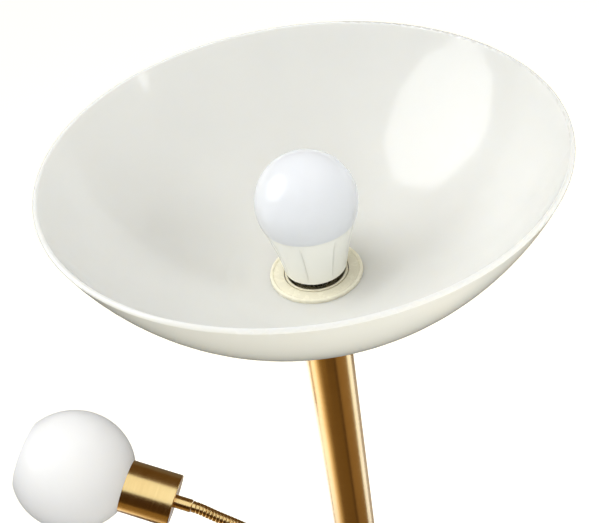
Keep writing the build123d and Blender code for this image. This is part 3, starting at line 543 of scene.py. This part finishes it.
def add_studio():
    """Large softbox on the left, a small one on the right, hidden fills, cards for the brass.

    Returns the floor and the cards."""
    for name, offset, radius, strength in SOFTBOXES:
        octagon(name, BOWL_MIDDLE + offset, BOWL_MIDDLE, radius, strength)
    for name, offset, size, watts, tint in BOWL_LIGHTS:
        area_light(name, BOWL_MIDDLE + Vector(offset), BOWL_MIDDLE, size, watts, tint)
    area_light("fill_low", FILL_LOW_PLACE, FILL_LOW_AIM, 1.2, watts=2.0, tint=FILL_LOW_TINT)
    floor = add_floor()
    add_world()
    cards = [arc_card(*values) for values in ARC_CARDS]
    cards += [flat_card(*values) for values in FLAT_CARDS]
    settings = bpy.context.scene.view_settings
    settings.view_transform = "Standard"
    settings.look = "None"
    settings.exposure = 0.0
    settings.gamma = 1.0
    return floor, cards


def link_lights(floor, cards, neck):
    """Gives the bulb and the globe soft lights of their own, and the brass its cards."""
    bulb = [nodes["bulb_diffuser"], nodes["bulb_housing"]]
    own_light("bulb_low", bulb, BULB_MIDDLE, (0.02, -0.10, -0.02), size=0.09, watts=0.035)
    globe = nodes["reading_globe"]
    rest = [piece for piece in bpy.context.scene.objects if piece.type == "MESH"]
    rest.remove(globe)
    light_only([floor], rest)
    low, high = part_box("reading_globe")
    middle = (low + high) / 2
    own_light("globe_low", [globe], middle, (-0.3, -0.9, -0.6), size=0.6, watts=1.5)
    own_light("globe_top", [globe], middle, (-0.1, 0.4, 1.2), size=0.8, watts=3.0)
    shiny = ("satin_brass", "nickel", "zinc_steel")
    metal = [node for name, node in nodes.items() if SLOTS[name] in shiny]
    light_only(cards, metal + neck)


# ---------------------------------------------------------------- meshes
def finish_mesh(name, builder, material, body, sharp):
    """Makes a smooth-shaded piece from a bmesh, sharp only where faces meet at a wide angle."""
    bmesh.ops.recalc_face_normals(builder, faces=builder.faces)
    for edge in builder.edges:
        edge.smooth = len(edge.link_faces) == 2 and edge.calc_face_angle(0) < sharp
    for face in builder.faces:
        face.smooth = True
    mesh = bpy.data.meshes.new(name)
    builder.to_mesh(mesh)
    builder.free()
    mesh.materials.append(material)
    piece = new_object(name, mesh)
    if body:
        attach(piece, body)
    return piece


def skin_rings(builder, rings, close_ends=False, loop=False):
    """Faces between rings of equal length; the last ring joins the first if loop is set."""
    made = [[builder.verts.new(point) for point in ring] for ring in rings]
    pairs = list(zip(made, made[1:]))
    if loop:
        pairs.append((made[-1], made[0]))
    for low, high in pairs:
        count = len(low)
        for n in range(count):
            after = (n + 1) % count
            builder.faces.new((low[n], low[after], high[after], high[n]))
    if close_ends:
        builder.faces.new(list(reversed(made[0])))
        builder.faces.new(made[-1])


# ---------------------------------------------------------------- neck
def neck_curve():
    """Function from a place in link lengths to (point, direction) on the neck's middle line.

    Returns it, the joints' places and the length of a link."""
    names = [f"neck_{kind}_{n}" for n in range(1, 7) for kind in ("bend", "sway")]
    points = [Vector(joints[name]["pos_m"]) for name in names]
    step = (points[1] - points[0]).length
    slopes = [Vector((0, 0, step))]
    slopes += [(after - before) / 2 for before, after in zip(points, points[2:])]
    slopes.append(head_direction() * step)

    def at(place):
        """Cubic through the joints, straight on beyond the first and last."""
        last = len(points) - 1
        if place <= 0:
            return points[0] + slopes[0] * place, slopes[0].normalized()
        if place >= last:
            return points[last] + slopes[last] * (place - last), slopes[last].normalized()
        n = int(place)
        t = place - n
        a, b, u, v = points[n], points[n + 1], slopes[n], slopes[n + 1]
        point = a * (2 * t**3 - 3 * t**2 + 1) + u * (t**3 - 2 * t**2 + t)
        point += b * (3 * t**2 - 2 * t**3) + v * (t**3 - t**2)
        slope = a * (6 * t * t - 6 * t) + u * (3 * t * t - 4 * t + 1)
        slope += b * (6 * t - 6 * t * t) + v * (3 * t * t - 2 * t)
        return point, slope.normalized()

    return at, points, step


def neck_radius(distance, angle, whole):
    """Radius of the wound skin: one round wire per pitch, climbing as a screw.

    The groove fades out within one pitch of the skin's end, which is whole metres up."""
    phase = (distance / NECK_PITCH - angle / math.tau) % 1.0
    if phase > NECK_CREST_SHARE:
        dip = math.sin(math.pi * (phase - NECK_CREST_SHARE) / (1 - NECK_CREST_SHARE))
    else:
        dip = 0.0
    fade = min(1.0, max(0.0, whole - distance) / NECK_PITCH)
    return NECK_CREST_RADIUS - (NECK_CREST_RADIUS - NECK_GROOVE_RADIUS) * dip * fade


def neck_ring(point, ahead, distance, whole):
    """One ring of the wound skin round a point of the neck's middle line."""
    across = Vector((0, 1, 0))
    other = ahead.cross(across)
    ring = []
    for n in range(NECK_SIDES):
        angle = math.tau * n / NECK_SIDES
        radius = neck_radius(distance, angle, whole)
        ring.append(point + (across * math.cos(angle) + other * math.sin(angle)) * radius)
    return ring


def add_neck(material):
    """The wound neck in twelve pieces, each reaching half a link to either side of one joint."""
    at, points, step = neck_curve()
    links = [f"neck_{n:02d}" for n in range(1, NECK_PIECES)]
    elbow_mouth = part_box("arm_elbow")[1].z - points[0].z + NECK_OVER_ELBOW
    first, last = elbow_mouth / step, len(points) - 1 + NECK_PAST_JOINT / step
    pieces = []
    for n in range(NECK_PIECES):
        start = max(n - 0.5, first)
        end = min(n + 0.5, last)
        count = round((end - start) * step / NECK_PITCH * NECK_STEPS)
        places = [start + (end - start) * k / count for k in range(count + 1)]
        rings = [neck_ring(*at(place), place * step, last * step) for place in places]
        builder = bmesh.new()
        skin_rings(builder, rings, close_ends=True)
        name = f"neck_hose_{n + 1:02d}"
        piece = finish_mesh(name, builder, material, None, sharp=1.0)
        low = at(max(n - NECK_BEND_REACH, first))[0]
        high = at(min(n + NECK_BEND_REACH, last))[0]
        if n == NECK_FROM_HEAD:
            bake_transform(piece)
        else:
            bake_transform(piece)
        if n < len(links):
            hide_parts(f"neck_link_{n + 1:02d}")
        pieces.append(piece)
    return pieces


# ---------------------------------------------------------------- bulbs and holder
def head_frame():
    """Frame with its origin at the neck's last joint and Z along the reading head."""
    turn = head_direction().to_track_quat("Z", "Y").to_matrix().to_4x4()
    return Matrix.Translation(LAST_JOINT) @ turn


def outer_radius(node, place, height, angle=0.0):
    """Distance from the frame's Z to a node's outer surface at a height, 0 where it has none."""
    far = 0.2
    way = Vector((math.cos(angle), math.sin(angle), 0))
    back = node.matrix_world.inverted()
    start = back @ (place @ (way * far + Vector((0, 0, height))))
    target = back @ (place @ Vector((0, 0, height)))
    struck, point, _, _ = node.ray_cast(start, (target - start).normalized(), distance=far)
    if not struck:
        return 0.0
    local = place.inverted() @ (node.matrix_world @ point)
    return math.hypot(local.x, local.y)


def height_span(node, place):
    """Lowest and highest place of a CAD node along the frame's Z."""
    back = place.inverted() @ node.matrix_world
    heights = [(back @ vertex.co).z for vertex in node.data.vertices]
    return min(heights), max(heights)


def round_point(place, radius, angle, height):
    """Point at a radius, angle and height in a frame."""
    return place @ Vector((radius * math.cos(angle), radius * math.sin(angle), height))


def lathe_rings(place, profile, sides, offset):
    """Rings about the frame's Z from (radius, height) pairs; offset(height, angle) is added."""
    angles = [math.tau * n / sides for n in range(sides)]
    return [
        [round_point(place, radius + offset(height, angle), angle, height) for angle in angles]
        for radius, height in profile
    ]


def add_threaded_shell(material):
    """Rolled screw shell of the main holder, its thread pressed through the thin wall."""
    node = nodes["main_screw_shell"]
    low, high = height_span(node, UPRIGHT)
    flange_top = low + SHELL_WALL
    radius = outer_radius(node, UPRIGHT, (low + high) / 2) - SHELL_DEPTH
    flange = outer_radius(node, UPRIGHT, low + SHELL_WALL / 2)
    steps, sides = 72, 72
    fade_low, fade_high = 0.003, 0.002

    def thread(height, angle):
        """Helical wave that fades out at both ends of the shell."""
        fade = max(0.0, min(1.0, (height - flange_top) / fade_low, (high - height) / fade_high))
        return SHELL_DEPTH * fade * math.sin(math.tau * height / LARGE_PITCH - angle)

    levels = [flange_top + (high - flange_top) * n / steps for n in range(steps + 1)]
    inner = radius - SHELL_WALL
    profile = [(inner, low)] + [(inner, level) for level in levels]
    profile += [(radius, level) for level in reversed(levels)]
    profile += [(flange, flange_top), (flange, low)]
    builder = bmesh.new()
    skin_rings(builder, lathe_rings(UPRIGHT, profile, sides, thread), loop=True)
    piece = finish_mesh("screw_shell_thread", builder, material, "stand", sharp=1.2)
    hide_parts("main_screw_shell")


def add_threaded_cap(name, node_name, place, pitch, depth, material, body):
    """A bulb's screw cap with a rolled thread on its round part."""
    node = nodes[node_name]
    low, high = height_span(node, place)
    steps, sides = 90, 60
    end_share = 0.004  # the outline's end points are measured this share of the height inside
    straight_share = 0.985  # the round part is where the radius is above this share of the widest
    fade_low, fade_high = 0.002, 0.004
    profile = []
    for n in range(steps + 1):
        measured = low + (high - low) * min(max(n / steps, end_share), 1 - end_share)
        radius = outer_radius(node, place, measured)
        profile.append((radius, low + (high - low) * n / steps))
    widest = max(radius for radius, _ in profile)
    straight = min(height for radius, height in profile if radius > straight_share * widest)

    def thread(height, angle):
        """Helical wave on the round part only, never outside the plain cap."""
        fade = max(0.0, min(1.0, (height - straight) / fade_low, (high - height) / fade_high))
        return depth * fade * (math.sin(math.tau * height / pitch - angle) - 1.0)

    builder = bmesh.new()
    skin_rings(builder, lathe_rings(place, profile, sides, thread), close_ends=True)
    piece = finish_mesh(name, builder, material, body, sharp=0.9)
    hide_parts(node_name)


def add_ribs(material):
    """Thin upright ribs moulded on the large bulb's housing, following its outline."""
    node = nodes["bulb_housing"]
    low, high = height_span(node, UPRIGHT)
    builder = bmesh.new()
    for rib in range(RIB_COUNT):
        middle = RIB_FIRST + math.tau * rib / RIB_COUNT
        rows = []
        for n in range(RIB_STEPS + 1):
            height = low + (high - low) * (RIB_START + (RIB_END - RIB_START) * n / RIB_STEPS)
            radius = outer_radius(node, UPRIGHT, height, middle)
            proud = RIB_PROUD * min(1.0, n / RIB_FADE_STEPS, (RIB_STEPS - n) / RIB_FADE_STEPS)
            outline = (
                (-RIB_FOOT, RIB_SUNK), (-RIB_CREST, proud), (RIB_CREST, proud), (RIB_FOOT, RIB_SUNK)
            )
            spread = RIB_HALF_WIDTH / radius
            rows.append([
                round_point(UPRIGHT, radius + lift, middle + side * spread, height)
                for side, lift in outline
            ])
        skin_rings(builder, rows, close_ends=True)
    finish_mesh("bulb_ribs", builder, material, "stand", sharp=1.0)


# ---------------------------------------------------------------- build
add_camera()
floor, cards = add_studio()
looks = dress_cad()
neck = add_neck(brass("neck_brass", grain=NECK_GRAIN))
nickel = looks["nickel"]
add_threaded_shell(nickel)
add_threaded_cap(
    "bulb_cap_thread", "bulb_cap", UPRIGHT, LARGE_PITCH, LARGE_CAP_DEPTH, nickel, "stand"
)
add_threaded_cap(
    "reading_cap_thread", "reading_bulb_cap", head_frame(),
    SMALL_PITCH, SMALL_CAP_DEPTH, nickel, "reading_head",
)
add_ribs(looks["bulb_body"])
link_lights(floor, cards, neck)
